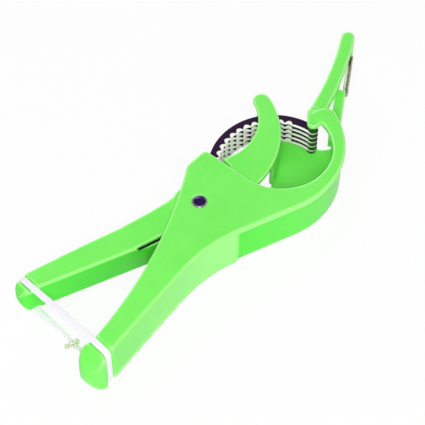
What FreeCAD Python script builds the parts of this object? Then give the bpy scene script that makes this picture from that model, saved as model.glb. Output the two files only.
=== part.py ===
"""Plier-type vegetable cutter with five arc blades, a pusher lever and a tip peeler.

Millimetres. The origin is on the pivot axis at the back face that the tool rests on.
+Z runs along the pivot from the back shell to the front shell, and +X runs from the
pivot towards the cutting head. The model stands in the nearly closed pose in which
an elastic band holds the two handles.
"""
import FreeCAD
import Part

import math
import os

# Levels along the pivot
tool_height = 26.0
front_plate = 3.2
back_plate = 2.6
jaw_gap = 0.5
shell_wall = 2.4

# Hook of the front shell: an outer and an inner circle
hook_outer_x = 46.0
hook_outer_y = 2.0
hook_outer_radius = 44.0
hook_inner_share = 0.58
hook_inner_y = -9.0
mouth_x = 26.0
hook_outer_end = -22.0
hook_inner_end = 6.0
hook_tip_inset = 2.5
hook_tip_angle = -16.8
hook_recess = 1.4
back_hook_end = -31.0
head_corner_y = 18.5
head_shoulder_x = 13.0
head_shoulder_y = 19.0

# Handle of the shells
step_x = -1.5
step_y = -25.7
waist_x = -34.0
waist_y = -20.0
neck_x = -91.0
knob_radius = 7.3
knob_gap = 4.8
knob_y = -18.5
inner_waist_x = -22.7
inner_waist_y = 2.3
inner_neck_heading = 4.5
handle_opening_x = -46.0
flank_reach = 4.0

# Blades
blade_count = 5
blade_pitch = 3.4
blade_thickness = 0.6
blade_width = 5.5
blade_centre_x = 44.0
blade_centre_y = -11.5
blade_radius = 33.0
blade_tip_angle = 0.0
blade_root_angle = 136.0
blade_floor_gap = 2.1
scallop_pitch = 4.4
scallop_depth = 0.65
plain_tip = 20.0
plain_root = 10.0
blade_pin_diameter = 3.0
blade_pin_depth = 1.5
spacer_diameter = 6.0
post_half_width = 2.5
post_front = 3.0
post_back = 3.3
post_ring_diameter = 4.6
floor_mid_angle = -68.0
floor_end_angle = -36.0
floor_tuck = 3.6
pad_radius = 3.2
pad_height = 2.6
pin_top_depth = 0.9

# Pivot
rivet_diameter = 5.0
rivet_head_diameter = 7.6
rivet_head_height = 1.6
rivet_seat_depth = 1.0
rivet_tail_diameter = 6.6
rivet_tail_height = 0.7
washer_diameter = 8.2
washer_thickness = 0.5
sleeve_diameter = 7.0
running_clearance = 0.05
fit_clearance = 0.03

# Pusher lever
lever_angle = 160.5
lever_head_radius = 14.0
lever_thickness = 17.0
lever_outer_edge = 8.2
lever_inner_root = 9.4
lever_inner_end = 2.0
lever_end = 97.8
lever_swell = 48.0
lever_bulge = 0.7
lever_lean = 2.2
hollow_start = 30.0
lever_neck = 91.0
lever_wall = 2.2
lever_roof = 3.2
finger_right_x = 29.6
finger_right_y = 36.0
finger_right_radius = 49.0
finger_left_x = 42.9
finger_left_y = 33.5
finger_left_radius = 27.3
finger_tip_radius = 3.7
comb_clearance = 0.5
comb_start_x = 43.5
comb_spine = 2.4
comb_inset = 1.0
rib_depth = 10.0
rib_width = 3.5
rib_start = 8.0
rib_end = 53.0
rib_y = -4.0
notch_x = 28.3
notch_y = 3.3
notch_length = 8.1
open_angle = 14.0
close_angle = 8.0

# Return spring
wire_diameter = 1.2
coil_radius = 5.75
coil_pitch = 1.75
coil_full_turns = 2
spring_boss_radius = 4.8
spring_pocket_radius = 8.6
long_leg_angle = 161.6
long_leg_length = 37.5
short_leg_angle = 240.0
short_leg_length = 23.2
leg_slack = 0.7

# Peeler
peeler_reach = 17.5
peeler_y = -4.0
peeler_z = 11.6
peeler_angle = 31.0
peeler_span = 28.0
peeler_blade_radius = 4.4
peeler_blade_thickness = 0.7
peeler_blade_spread = 130.0
peeler_blade_facing = 270.0
peeler_slot = 1.8
peeler_slot_margin = 3.4
peeler_web = 0.9
peeler_end_gap = 0.4
tang_diameter = 2.0
tang_length = 3.2
prong_width = 5.4
prong_height = 6.4
prong_sink = 3.0
horn_width = 7.0
horn_base = 16.6
horn_top = 22.0
horn_bow = 1.8
horn_swell = 1.1
horn_rise = 2.8
horn_gap = 0.9
lug_length = 4.4

# Shell screws
screw_diameter = 2.6
screw_head_diameter = 5.0
screw_head_height = 1.6
screw_depth = 9.0
boss_diameter = 6.4
handle_screws = [(-30.0, -12.0), (-72.0, -17.0)]
hook_screw_inset = 5.6
hook_screw_angle = -128.7

# Elastic band
band_width = 3.2
band_thickness = 0.9
groove_width = 4.4
knob_land = 0.6
groove_depth = 1.4
band_clearance = 0.25
knob_overhang = 2.4
knot_radius = 2.2
stub_length = 5.0
stub_radius = 0.8

# Edge rounding
edge_round = 1.2
corner_round = 2.0

# Sizes that follow
hook_inner_radius = hook_outer_radius * hook_inner_share
hook_inner_x = mouth_x + hook_inner_radius
front_under = tool_height - front_plate
knob_x = neck_x - knob_gap
jaw_top = front_under - jaw_gap
jaw_bottom = back_plate + jaw_gap
lever_bottom = (tool_height - lever_thickness) / 2
lever_top = lever_bottom + lever_thickness
lowest_blade = back_plate + blade_floor_gap + blade_thickness / 2
blade_levels = [lowest_blade + blade_pitch * i for i in range(blade_count)]
finger_under = blade_levels[-1] + blade_thickness / 2 + comb_clearance
blade_inner_radius = blade_radius - blade_width
blade_mid_radius = blade_radius - blade_width / 2
spring_floor = lever_top - wire_diameter - coil_pitch * (coil_full_turns + 1) - wire_diameter


def polar(x, y, radius, angle):
    """Point at an angle in degrees on a circle."""
    turn = math.radians(angle)
    return (x + radius * math.cos(turn), y + radius * math.sin(turn))


def vec(point, z=0.0):
    """Vector of a plan point at a level."""
    return FreeCAD.Vector(point[0], point[1], z)


def plan_wire(start, steps, z=0.0):
    """Closed wire: each step is an end point, or a (through, end) pair for an arc."""
    edges = []
    here = start
    for step in steps:
        if isinstance(step[0], tuple):
            through, end = step
            edges.append(Part.Arc(vec(here, z), vec(through, z), vec(end, z)).toShape())
        else:
            end = step
            edges.append(Part.LineSegment(vec(here, z), vec(end, z)).toShape())
        here = end
    if math.dist(here, start) > 1e-6:
        edges.append(Part.LineSegment(vec(here, z), vec(start, z)).toShape())
    return Part.Wire(edges)


def plate(start, steps, bottom, top):
    """Solid plate of a plan outline between two levels."""
    face = Part.Face(plan_wire(start, steps, bottom))
    return face.extrude(FreeCAD.Vector(0, 0, top - bottom))


def cylinder(point, radius, bottom, top):
    """Upright cylinder between two levels."""
    return Part.makeCylinder(radius, top - bottom, vec(point, bottom))


def block(x0, x1, y0, y1, z0, z1):
    """Box between corner values."""
    return Part.makeBox(x1 - x0, y1 - y0, z1 - z0, FreeCAD.Vector(x0, y0, z0))


def turned(shape, angle, point=(0.0, 0.0)):
    """Copy turned about Z at the origin and then moved to a plan point."""
    copy = shape.copy()
    copy.rotate(FreeCAD.Vector(0, 0, 0), FreeCAD.Vector(0, 0, 1), angle)
    copy.translate(vec(point))
    return copy


def at_level(edge, z):
    """True for an edge that lies in a level plane."""
    box = edge.BoundBox
    return abs(box.ZMin - z) < 1e-4 and abs(box.ZMax - z) < 1e-4


def stands_at(edge, corners):
    """True for an upright edge at one of the plan corners."""
    box = edge.BoundBox
    if box.ZLength < 1e-4 or math.hypot(box.XLength, box.YLength) > 1e-4:
        return False
    return any(math.dist((box.XMin, box.YMin), corner) < 1e-3 for corner in corners)


def soft_plate(start, steps, bottom, top, corners):
    """Plate with rounded plan corners and a rounded rim on its upper face."""
    body = plate(start, steps, bottom, top)
    body = body.makeFillet(corner_round, [edge for edge in body.Edges if stands_at(edge, corners)])
    return body.makeFillet(edge_round, [edge for edge in body.Edges if at_level(edge, top)])


def tangent_direction():
    """Outward unit normal of the straight flank from the step to the hook circle."""
    dx = hook_outer_x - step_x
    dy = hook_outer_y - step_y
    reach = math.hypot(dx, dy)
    lean = math.atan2(dy, dx) - math.asin(hook_outer_radius / reach)
    return (math.sin(lean), -math.cos(lean))


flank_normal = tangent_direction()
flank_angle = math.degrees(math.atan2(flank_normal[1], flank_normal[0]))
blade_tip_pin = polar(blade_centre_x, blade_centre_y, blade_mid_radius, blade_tip_angle)
blade_root_pin = polar(blade_centre_x, blade_centre_y, blade_mid_radius, blade_root_angle)


def hook_point(inset, angle):
    """Point on the hook's outer circle, drawn in by an inset."""
    return polar(hook_outer_x, hook_outer_y, hook_outer_radius - inset, angle)


def step_point(inset):
    """Where the hook's flank starts at the step, drawn in by an inset."""
    return (step_x - inset * flank_normal[0], step_y - inset * flank_normal[1])


hook_tip = hook_point(hook_tip_inset, hook_tip_angle)
screw_places = handle_screws + [hook_point(hook_screw_inset + hook_recess - shell_wall / 2, hook_screw_angle)]
head_corner = (mouth_x, head_corner_y)
knob_half_neck = math.sqrt(knob_radius ** 2 - (neck_x - knob_x) ** 2)
knob_end = (knob_x - knob_radius, knob_y)
outer_neck = (neck_x, knob_y - knob_half_neck)
inner_neck = (neck_x, knob_y + knob_half_neck)
inner_waist = (inner_waist_x, inner_waist_y)


def bearing(start, end):
    """Angle in degrees from one plan point to another."""
    return math.degrees(math.atan2(end[1] - start[1], end[0] - start[0]))


def smooth_arc(start, heading, end):
    """Arc step that leaves a point along a heading, and the heading at its end."""
    chord = bearing(start, end)
    half_turn = (chord - heading + 180.0) % 360.0 - 180.0
    sagitta = math.dist(start, end) / 2 * math.tan(math.radians(half_turn / 2))
    middle = ((start[0] + end[0]) / 2, (start[1] + end[1]) / 2)
    return (polar(middle[0], middle[1], sagitta, chord - 90.0), end), chord + half_turn


def handle_steps():
    """Outline of the handle from the step, round the knob and up to the head corner."""
    step = (step_x, step_y)
    waist = (waist_x, waist_y)
    flank, heading = smooth_arc(step, flank_angle - 90.0, waist)
    outer_side, _ = smooth_arc(waist, heading, outer_neck)
    inner_side, heading = smooth_arc(inner_neck, inner_neck_heading, inner_waist)
    shoulder, _ = smooth_arc(inner_waist, heading, (head_shoulder_x, head_shoulder_y))
    return [flank, outer_side, (knob_end, inner_neck), inner_side, shoulder, head_corner]


def shell_plan():
    """Front outline: hook, flank, handle and mouth edge, from the mouth edge on."""
    start = (mouth_x, hook_inner_y)
    tip_inner = polar(hook_inner_x, hook_inner_y, hook_inner_radius, hook_inner_end)
    inner_low = (hook_inner_x, hook_inner_y - hook_inner_radius)
    outer_mid = (flank_angle + hook_outer_end) / 2
    steps = [
        (inner_low, tip_inner),
        hook_tip,
        hook_point(0.0, hook_outer_end),
        (hook_point(0.0, outer_mid), hook_point(0.0, flank_angle)),
        (step_x, step_y),
    ]
    return start, steps + handle_steps()


def handle_plan():
    """Outline of the handle and the head up to the mouth edge."""
    return (mouth_x, hook_inner_y), [(step_x, step_y)] + handle_steps()


def hook_wall(inset, thickness, bottom, top, end):
    """Upright wall along the flank and the hook, drawn in by an inset."""
    mid = (flank_angle + end) / 2
    inner = inset + thickness
    steps = [
        hook_point(inset, flank_angle),
        (hook_point(inset, mid), hook_point(inset, end)),
        hook_point(inner, end),
        (hook_point(inner, mid), hook_point(inner, flank_angle)),
        step_point(inner),
    ]
    return plate(step_point(inset), steps, bottom, top)


peeler_x = hook_outer_x + hook_outer_radius + peeler_reach


def prong_length():
    """Length of the prong from the near tang back into the hook's wall."""
    dx = peeler_x - hook_outer_x
    dy = peeler_y - hook_outer_y
    turn = math.radians(peeler_angle)
    along = dx * math.cos(turn) + dy * math.sin(turn)
    wall_radius = hook_outer_radius - hook_recess - shell_wall / 2
    return along - math.sqrt(along ** 2 - dx ** 2 - dy ** 2 + wall_radius ** 2) + prong_sink


def peeler_frame(shape):
    """Shape built along +X from the near pivot, moved to the peeler's line."""
    return turned(shape, peeler_angle, (peeler_x, peeler_y))


def tang_hole(start, end):
    """Running hole for a tang on the peeler's line."""
    radius = tang_diameter / 2 + running_clearance
    return Part.makeCylinder(radius, end - start, FreeCAD.Vector(start, 0, peeler_z), FreeCAD.Vector(1, 0, 0))


def band_line():
    """Plan point, direction and normal of the plane that the band lies in."""
    far = polar(0.0, 0.0, lever_neck, lever_angle)
    dx = far[0] - neck_x
    dy = far[1] - knob_y
    length = math.hypot(dx, dy)
    return (neck_x, knob_y), math.degrees(math.atan2(dy, dx)), length


def band_frame(shape):
    """Shape built with s along +X and the band's width along Y, moved to its place."""
    origin, angle, _ = band_line()
    return turned(shape, angle, origin)


def groove_tool(s0, s1, z0, z1, opening):
    """Cutter for a band groove round a core, open on the side towards the other handle."""
    slab = block(s0 - 20, s1 + 20, -groove_width / 2, groove_width / 2, z0 - 20, z1 + 20)
    core = block(s0, s1, -groove_width, groove_width, z0, z1)
    side = block(opening[0], opening[1], -groove_width, groove_width, z0 - 30, z1 + 30)
    return band_frame(slab.cut(core).cut(side))


def end_round(start, end, bottom, top, angle):
    """Cutter that rounds a handle's end off as seen from the side."""
    reach = end - start + 30.0
    upper = FreeCAD.Vector(start, -reach, top)
    nose = FreeCAD.Vector(end, -reach, (bottom + top) / 2)
    lower = FreeCAD.Vector(start, -reach, bottom)
    outline = [Part.Arc(upper, nose, lower).toShape(), Part.LineSegment(lower, upper).toShape()]
    dome = Part.Face(Part.Wire(outline)).extrude(FreeCAD.Vector(0, 2 * reach, 0))
    slab = block(start, start + reach, -reach, reach, bottom - 1, top + 1)
    return turned(slab.cut(dome), angle)


half_knob = knob_half_neck
shell_core = (-half_knob + groove_depth, 0.0)
lever_core_end = lever_outer_edge - groove_depth


def shell_groove():
    """Cutter for the groove round the shells' neck."""
    side = (half_knob + knob_overhang, 80.0)
    return groove_tool(shell_core[0], 40.0, groove_depth, tool_height - groove_depth, side)


def lever_groove():
    """Cutter for the groove round the lever's neck."""
    _, _, reach = band_line()
    outer = reach + lever_core_end
    low = lever_bottom + groove_depth
    high = lever_top - groove_depth
    return groove_tool(reach - 40.0, outer, low, high, (-40.0, reach - lever_inner_end - groove_depth))


def handle_wall():
    """Upright wall of the front shell along the handle, open where the lever enters."""
    start, steps = handle_plan()
    outline = plan_wire(start, steps, back_plate)
    inner = outline.makeOffset2D(-shell_wall)
    height = FreeCAD.Vector(0, 0, front_under - back_plate)
    ring = Part.Face(outline).extrude(height).cut(Part.Face(inner).extrude(height))
    rear = block(knob_end[0] - 5, handle_opening_x, -60, 60, 0, tool_height)
    flank = block(handle_opening_x, step_x, -60, waist_y + shell_wall + flank_reach, 0, tool_height)
    solid_end = block(knob_end[0] - 5, neck_x + groove_width, -60, 60, 0, tool_height)
    knob = Part.Face(outline).extrude(height).common(solid_end)
    return ring.common(rear.fuse(flank)).fuse(knob)


def knob_round():
    """Cutter that rounds the shells' knob from the side."""
    start = groove_width / 2 + knob_land - neck_x
    return end_round(start, -knob_end[0], 0.0, tool_height, 180.0)


def horn_foot():
    """Plan point where the horn leaves the hook's tip."""
    foot_radius = horn_width / 2 * horn_swell
    return (blade_tip_pin[0] + post_half_width + foot_radius + horn_gap, hook_tip[1] + horn_rise)


def horn():
    """Curved arm from the hook's tip to the peeler's far pivot."""
    far = polar(peeler_x, peeler_y, peeler_span + lug_length / 2, peeler_angle)
    half = horn_width / 2
    foot_radius = half * horn_swell
    base = horn_foot()
    lean = bearing(base, far)
    spread = polar(0.0, 0.0, half, lean - 90.0)
    bow = polar(0.0, 0.0, horn_bow, lean - 90.0)
    middle = ((base[0] + far[0]) / 2 + bow[0], (base[1] + far[1]) / 2 + bow[1])
    right_foot = (base[0] + horn_swell * spread[0], base[1] + horn_swell * spread[1])
    left_foot = (base[0] - horn_swell * spread[0], base[1] - horn_swell * spread[1])
    steps = [
        ((middle[0] + spread[0], middle[1] + spread[1]), (far[0] + spread[0], far[1] + spread[1])),
        (polar(far[0], far[1], half, lean), (far[0] - spread[0], far[1] - spread[1])),
        ((middle[0] - spread[0], middle[1] - spread[1]), left_foot),
    ]
    arm = plate(right_foot, steps, horn_base, horn_top)
    foot = cylinder(base, foot_radius, horn_base, front_under)
    lug = block(peeler_span, peeler_span + lug_length, -half, half, peeler_z - half, horn_base + 1)
    hole = tang_hole(peeler_span - 1, peeler_span + tang_length + peeler_end_gap)
    return arm.fuse(foot).fuse(peeler_frame(lug)).cut(peeler_frame(hole))


def screw_bosses():
    """Bosses under the front plate, each with a pilot hole for its screw."""
    bosses = []
    for place in screw_places:
        boss = cylinder(place, boss_diameter / 2, back_plate, front_under)
        pilot = cylinder(place, screw_diameter / 2 + fit_clearance, 0, back_plate + screw_depth)
        bosses.append(boss.cut(pilot))
    return bosses


def front_shell():
    """Front plate with the hook, the handle's walls, the screw bosses and the horn."""
    start, steps = shell_plan()
    corners = [
        polar(hook_inner_x, hook_inner_y, hook_inner_radius, hook_inner_end),
        hook_tip,
        hook_point(0.0, hook_outer_end),
        outer_neck,
        inner_neck,
        (head_shoulder_x, head_shoulder_y),
        head_corner,
    ]
    body = soft_plate(start, steps, front_under, tool_height, corners)
    pad_top = front_under + pad_height
    pad = cylinder(blade_tip_pin, pad_radius, front_under, pad_top)
    neck_end = horn_foot()
    neck_angle = bearing(blade_tip_pin, neck_end)
    neck_reach = math.dist(neck_end, blade_tip_pin)
    neck = block(0, neck_reach, -pad_radius, pad_radius, front_under, pad_top)
    parts = [handle_wall(), pad, turned(neck, neck_angle, blade_tip_pin), horn()] + screw_bosses()
    body = body.multiFuse(parts).removeSplitter()
    seat = cylinder((0, 0), rivet_head_diameter / 2 + 0.3, tool_height - rivet_seat_depth, tool_height + 1)
    bore = cylinder((0, 0), rivet_diameter / 2 + fit_clearance, 0, tool_height)
    holes = [seat, bore, shell_groove(), knob_round()]
    for pin in (blade_tip_pin, blade_root_pin):
        top = front_under + pin_top_depth
        holes.append(cylinder(pin, blade_pin_diameter / 2 + fit_clearance, 0, top))
    return body.cut(Part.makeCompound(holes))


def floor_plan():
    """Back plate of the hook: its floor runs under the closed pusher and past the tip post."""
    edge_radius = finger_right_radius + comb_clearance
    edge_start = (mouth_x, finger_right_y - math.sqrt(edge_radius ** 2 - (mouth_x - finger_right_x) ** 2))
    edge_mid = polar(finger_right_x, finger_right_y, edge_radius - floor_tuck / 2, floor_mid_angle)
    edge_end = polar(finger_right_x, finger_right_y, edge_radius - floor_tuck, floor_end_angle)
    tip = blade_tip_pin
    mid = (flank_angle + back_hook_end) / 2
    steps = [
        (edge_mid, edge_end),
        (tip[0] + post_half_width, tip[1] + post_front + 1.0),
        (tip[0] + post_half_width + 0.6, tip[1] - post_back),
        hook_point(hook_recess, back_hook_end),
        (hook_point(hook_recess, mid), hook_point(hook_recess, flank_angle)),
        step_point(hook_recess),
    ]
    return edge_start, steps


def back_shell():
    """Back plate with the hook's floor and wall, and the prong for the near tang."""
    start, steps = handle_plan()
    body = plate(start, steps, 0, back_plate)
    start, steps = floor_plan()
    floor = plate(start, steps, 0, back_plate)
    wall = hook_wall(hook_recess, shell_wall, 0, front_under, back_hook_end)
    prong_bottom = peeler_z - prong_height / 2
    prong_top = prong_bottom + prong_height
    prong = block(-prong_length(), 0, -prong_width / 2, prong_width / 2, prong_bottom, prong_top)
    prong = prong.cut(tang_hole(-tang_length - peeler_end_gap, 1))
    gap = block(step_x - 5, step_x + fit_clearance, -60, 0, back_plate, tool_height)
    body = body.multiFuse([floor, wall.cut(gap), peeler_frame(prong)]).removeSplitter()
    seat_depth = rivet_tail_height + washer_thickness
    holes = [
        cylinder((0, 0), washer_diameter / 2 + 0.2, -1, seat_depth),
        cylinder((0, 0), rivet_diameter / 2 + fit_clearance, 0, back_plate),
        shell_groove(),
        knob_round(),
    ]
    for pin in (blade_tip_pin, blade_root_pin):
        bottom = back_plate - blade_pin_depth
        holes.append(cylinder(pin, blade_pin_diameter / 2 + fit_clearance, bottom, back_plate + 1))
    for place in screw_places:
        holes.append(cylinder(place, screw_head_diameter / 2 + 0.15, -1, screw_head_height))
        holes.append(cylinder(place, screw_diameter / 2 + 0.15, 0, back_plate))
    return body.cut(Part.makeCompound(holes))


def blade_at(angle, radius):
    """Plan point on a circle about the blades' centre."""
    return polar(blade_centre_x, blade_centre_y, radius, angle)


def slicing_blade(level):
    """Arc blade with a scalloped inner edge and a pin hole in each rounded end."""
    half = blade_width / 2
    first = blade_tip_angle + plain_tip
    last = blade_root_angle - plain_root
    arc_length = math.radians(last - first) * blade_inner_radius
    scallops = round(arc_length / scallop_pitch)
    stride = (last - first) / scallops
    start = blade_at(blade_root_angle, blade_radius)
    middle = (blade_tip_angle + blade_root_angle) / 2
    tip_side = polar(blade_tip_pin[0], blade_tip_pin[1], half, blade_tip_angle - 90)
    root_side = polar(blade_root_pin[0], blade_root_pin[1], half, blade_root_angle + 90)
    steps = [
        (blade_at(middle, blade_radius), blade_at(blade_tip_angle, blade_radius)),
        (tip_side, blade_at(blade_tip_angle, blade_inner_radius)),
        (blade_at(blade_tip_angle + plain_tip / 2, blade_inner_radius), blade_at(first, blade_inner_radius)),
    ]
    for i in range(scallops):
        crest = blade_at(first + stride * (i + 0.5), blade_inner_radius + scallop_depth)
        steps.append((crest, blade_at(first + stride * (i + 1), blade_inner_radius)))
    plain_mid = blade_at(last + plain_root / 2, blade_inner_radius)
    steps.append((plain_mid, blade_at(blade_root_angle, blade_inner_radius)))
    steps.append((root_side, start))
    bottom = level - blade_thickness / 2
    body = plate(start, steps, bottom, bottom + blade_thickness)
    for pin in (blade_tip_pin, blade_root_pin):
        body = body.cut(cylinder(pin, blade_pin_diameter / 2 + fit_clearance, 0, tool_height))
    return body


def blade_pin(point):
    """Steel pin through the blades, held by both plates."""
    return cylinder(point, blade_pin_diameter / 2, back_plate - blade_pin_depth, front_under + pin_top_depth)


def spacer_rings(pin, diameter):
    """Rings on a blade pin that fill the heights between the blades."""
    rings = []
    levels = [back_plate - blade_thickness / 2] + blade_levels + [front_under + blade_thickness / 2]
    for low, high in zip(levels, levels[1:]):
        bottom = low + blade_thickness / 2
        top = high - blade_thickness / 2
        ring = cylinder(pin, diameter / 2, bottom, top)
        rings.append(ring.cut(cylinder(pin, blade_pin_diameter / 2 + fit_clearance, bottom, top)))
    return Part.makeCompound(rings)


def root_spacers():
    """Rings on the root pin that hold the blades at their pitch."""
    return spacer_rings(blade_root_pin, spacer_diameter)


def tip_post():
    """Post of plastic rings on the tip pin, between the blades' rounded ends."""
    return spacer_rings(blade_tip_pin, post_ring_diameter)


def pivot_sleeve():
    """Tube between the plates that the lever turns on."""
    body = cylinder((0, 0), sleeve_diameter / 2, back_plate, front_under)
    return body.cut(cylinder((0, 0), rivet_diameter / 2 + fit_clearance, 0, tool_height))


def pivot_rivet():
    """Domed rivet with its set tail sunk in the back plate."""
    seat = tool_height - rivet_seat_depth
    half = rivet_head_diameter / 2
    sphere_radius = (half ** 2 + rivet_head_height ** 2) / (2 * rivet_head_height)
    sphere = Part.makeSphere(sphere_radius, FreeCAD.Vector(0, 0, seat + rivet_head_height - sphere_radius))
    head = sphere.common(cylinder((0, 0), sphere_radius, seat, seat + rivet_head_height + 1))
    shank = cylinder((0, 0), rivet_diameter / 2, 0, seat)
    tail = cylinder((0, 0), rivet_tail_diameter / 2, 0, rivet_tail_height)
    return head.fuse(shank).fuse(tail).removeSplitter()


def pivot_washer():
    """Washer under the rivet's tail."""
    top = rivet_tail_height + washer_thickness
    body = cylinder((0, 0), washer_diameter / 2, rivet_tail_height, top)
    return body.cut(cylinder((0, 0), rivet_diameter / 2 + fit_clearance, 0, top))


def shell_screws():
    """Screws that draw the back shell to the front shell's bosses."""
    screws = []
    for place in screw_places:
        head = cylinder(place, screw_head_diameter / 2, 0.2, screw_head_height)
        shank = cylinder(place, screw_diameter / 2, 0.2, back_plate + screw_depth - 0.5)
        screws.append(head.fuse(shank).removeSplitter())
    return Part.makeCompound(screws)


def finger_ends():
    """Where the pusher's two edges meet the round of its tip."""
    angle = 15.0
    left = polar(finger_left_x, finger_left_y, finger_left_radius, -angle - 11.0)
    right = polar(finger_right_x, finger_right_y, finger_right_radius, -angle - 7.5)
    return left, right


def finger_plate():
    """Hooked plate of the pusher, from the lever's head to the tip."""
    left, right = finger_ends()
    tip_mid = ((left[0] + right[0]) / 2, (left[1] + right[1]) / 2)
    lean = math.degrees(math.atan2(left[1] - right[1], left[0] - right[0])) - 90
    tip = polar(tip_mid[0], tip_mid[1], finger_tip_radius, lean)
    right_start = polar(finger_right_x, finger_right_y, finger_right_radius, -107.0)
    right_mid = polar(finger_right_x, finger_right_y, finger_right_radius, -62.0)
    left_start = polar(finger_left_x, finger_left_y, finger_left_radius, -120.0)
    left_mid = polar(finger_left_x, finger_left_y, finger_left_radius, -75.0)
    steps = [
        (right_mid, right),
        (tip, left),
        (left_mid, left_start),
        (notch_x, notch_y),
        (notch_x - notch_length, notch_y - 1.0),
        (lever_head_radius * 0.8, 6.0),
        (0.0, lever_head_radius * 0.8),
        (0.0, -lever_head_radius * 0.8),
    ]
    return plate(right_start, steps, finger_under, jaw_top)


def comb():
    """Spine and teeth under the finger, slotted for the blades over the whole travel."""
    left_radius = finger_left_radius + comb_inset
    inner_radius = finger_right_radius - comb_spine
    drop = finger_right_y - math.sqrt(finger_right_radius ** 2 - (comb_start_x - finger_right_x) ** 2)
    start = (comb_start_x, drop)
    tip_right = polar(finger_right_x, finger_right_y, finger_right_radius, -25.0)
    tip_left = polar(finger_left_x, finger_left_y, left_radius, -31.0)
    left_root = polar(finger_left_x, finger_left_y, left_radius, -74.0)
    spine_turn = polar(finger_right_x, finger_right_y, inner_radius, -60.0)
    spine_mid = polar(finger_right_x, finger_right_y, inner_radius, -66.0)
    spine_start = polar(finger_right_x, finger_right_y, inner_radius, -73.0)
    steps = [
        (polar(finger_right_x, finger_right_y, finger_right_radius, -50.0), tip_right),
        tip_left,
        (polar(finger_left_x, finger_left_y, left_radius, -52.0), left_root),
        spine_turn,
        (spine_mid, spine_start),
    ]
    body = plate(start, steps, jaw_bottom, finger_under)
    reach = math.hypot(blade_centre_x, blade_centre_y)
    closed = polar(0, 0, reach, bearing((0.0, 0.0), (blade_centre_x, blade_centre_y)) - close_angle)
    clear_radius = blade_inner_radius - comb_clearance
    half = blade_thickness / 2 + comb_clearance
    for level in blade_levels:
        slab = block(0, 120, -60, 60, level - half, level + half)
        keep = cylinder(closed, clear_radius, level - half - 1, level + half + 1)
        body = body.cut(slab.cut(keep))
    return body


def lever_handle():
    """Hollow handle along +X in the lever's own frame, open at the back."""
    outer = -lever_outer_edge
    end_mid = (outer + lever_inner_end) / 2
    side_end = lever_neck - 1.0
    swell = (lever_swell, outer - lever_bulge)
    outer_side, heading = smooth_arc((side_end, outer), 180.0 + lever_lean, swell)
    flare, _ = smooth_arc(swell, heading, (0.0, 1.0 - lever_head_radius))
    steps = [
        (side_end, lever_inner_end),
        ((lever_end, end_mid), (side_end, outer)),
        outer_side,
        flare,
    ]
    corners = [(side_end, lever_inner_end), (side_end, outer)]
    body = soft_plate((0.0, lever_inner_root), steps, lever_bottom, lever_top, corners)
    wall = lever_wall
    hollow_end = lever_neck - groove_width / 2 - wall
    hollow_steps = [
        (hollow_end, outer + wall),
        (hollow_end, lever_inner_end - wall),
        (hollow_start, lever_inner_end - wall + 3.0),
    ]
    hollow = plate((hollow_start, outer + wall), hollow_steps, lever_bottom - 1, lever_top - lever_roof)
    nose = end_round(lever_neck + groove_width / 2 + knob_land, lever_end, lever_bottom, lever_top, 0.0)
    return turned(body.cut(hollow).cut(nose), lever_angle)


def leg_cut(angle, side, length, bottom, width):
    """Groove along a spring leg that leaves the coil on one side."""
    middle = side * coil_radius
    tool = block(0, length, middle - width / 2, middle + width / 2, bottom, tool_height)
    return turned(tool, angle)


def pusher_lever():
    """Lever in one piece: handle, head on the pivot, finger, comb and rib."""
    head = cylinder((0, 0), lever_head_radius, jaw_bottom, jaw_top)
    rib = block(rib_start, rib_end, rib_y, rib_y + rib_width, finger_under - rib_depth, finger_under)
    body = lever_handle().multiFuse([head, finger_plate(), comb(), rib]).removeSplitter()
    pocket = cylinder((0, 0), spring_pocket_radius, spring_floor - leg_slack, tool_height)
    pocket = pocket.cut(cylinder((0, 0), spring_boss_radius, 0, tool_height))
    long_level = lever_top - wire_diameter
    leg_depth = wire_diameter / 2 + fit_clearance
    cuts = [
        pocket,
        cylinder((0, 0), sleeve_diameter / 2 + running_clearance, 0, tool_height),
        leg_cut(
            long_leg_angle,
            1,
            long_leg_length + leg_slack,
            long_level - leg_depth,
            wire_diameter + leg_slack,
        ),
        lever_groove(),
    ]
    sweep_steps = 6
    for i in range(sweep_steps + 1):
        turn = short_leg_angle - close_angle + (open_angle + close_angle) * i / sweep_steps
        slot_width = wire_diameter + 3 * leg_slack
        cuts.append(leg_cut(turn, -1, short_leg_length, spring_floor - leg_slack, slot_width))
    return body.cut(cuts)


def biarc(p0, t0, p1, t1):
    """Two tangent arcs from one point and direction to another."""
    v = p1 - p0
    t = t0 + t1
    a = 2 * (1 - t0.dot(t1))
    b = v.dot(t)
    d = (math.sqrt(b * b + a * v.dot(v)) - b) / a
    q0 = p0 + t0 * d
    q1 = p1 - t1 * d
    joint = (q0 + q1) * 0.5
    return [arc_from(p0, t0, joint), arc_from(joint, (q1 - q0).normalize(), p1)]


def arc_from(start, direction, end):
    """Arc that leaves a point in a direction and reaches another point."""
    chord = end - start
    length = chord.Length
    along = FreeCAD.Vector(chord).normalize()
    cosine = direction.dot(along)
    across = (direction - along * cosine).normalize()
    half = math.acos(max(-1.0, min(1.0, cosine)))
    sagitta = length / 2 * math.tan(half / 2)
    middle = (start + end) * 0.5 + across * sagitta
    return Part.Arc(start, middle, end).toShape()


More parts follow.
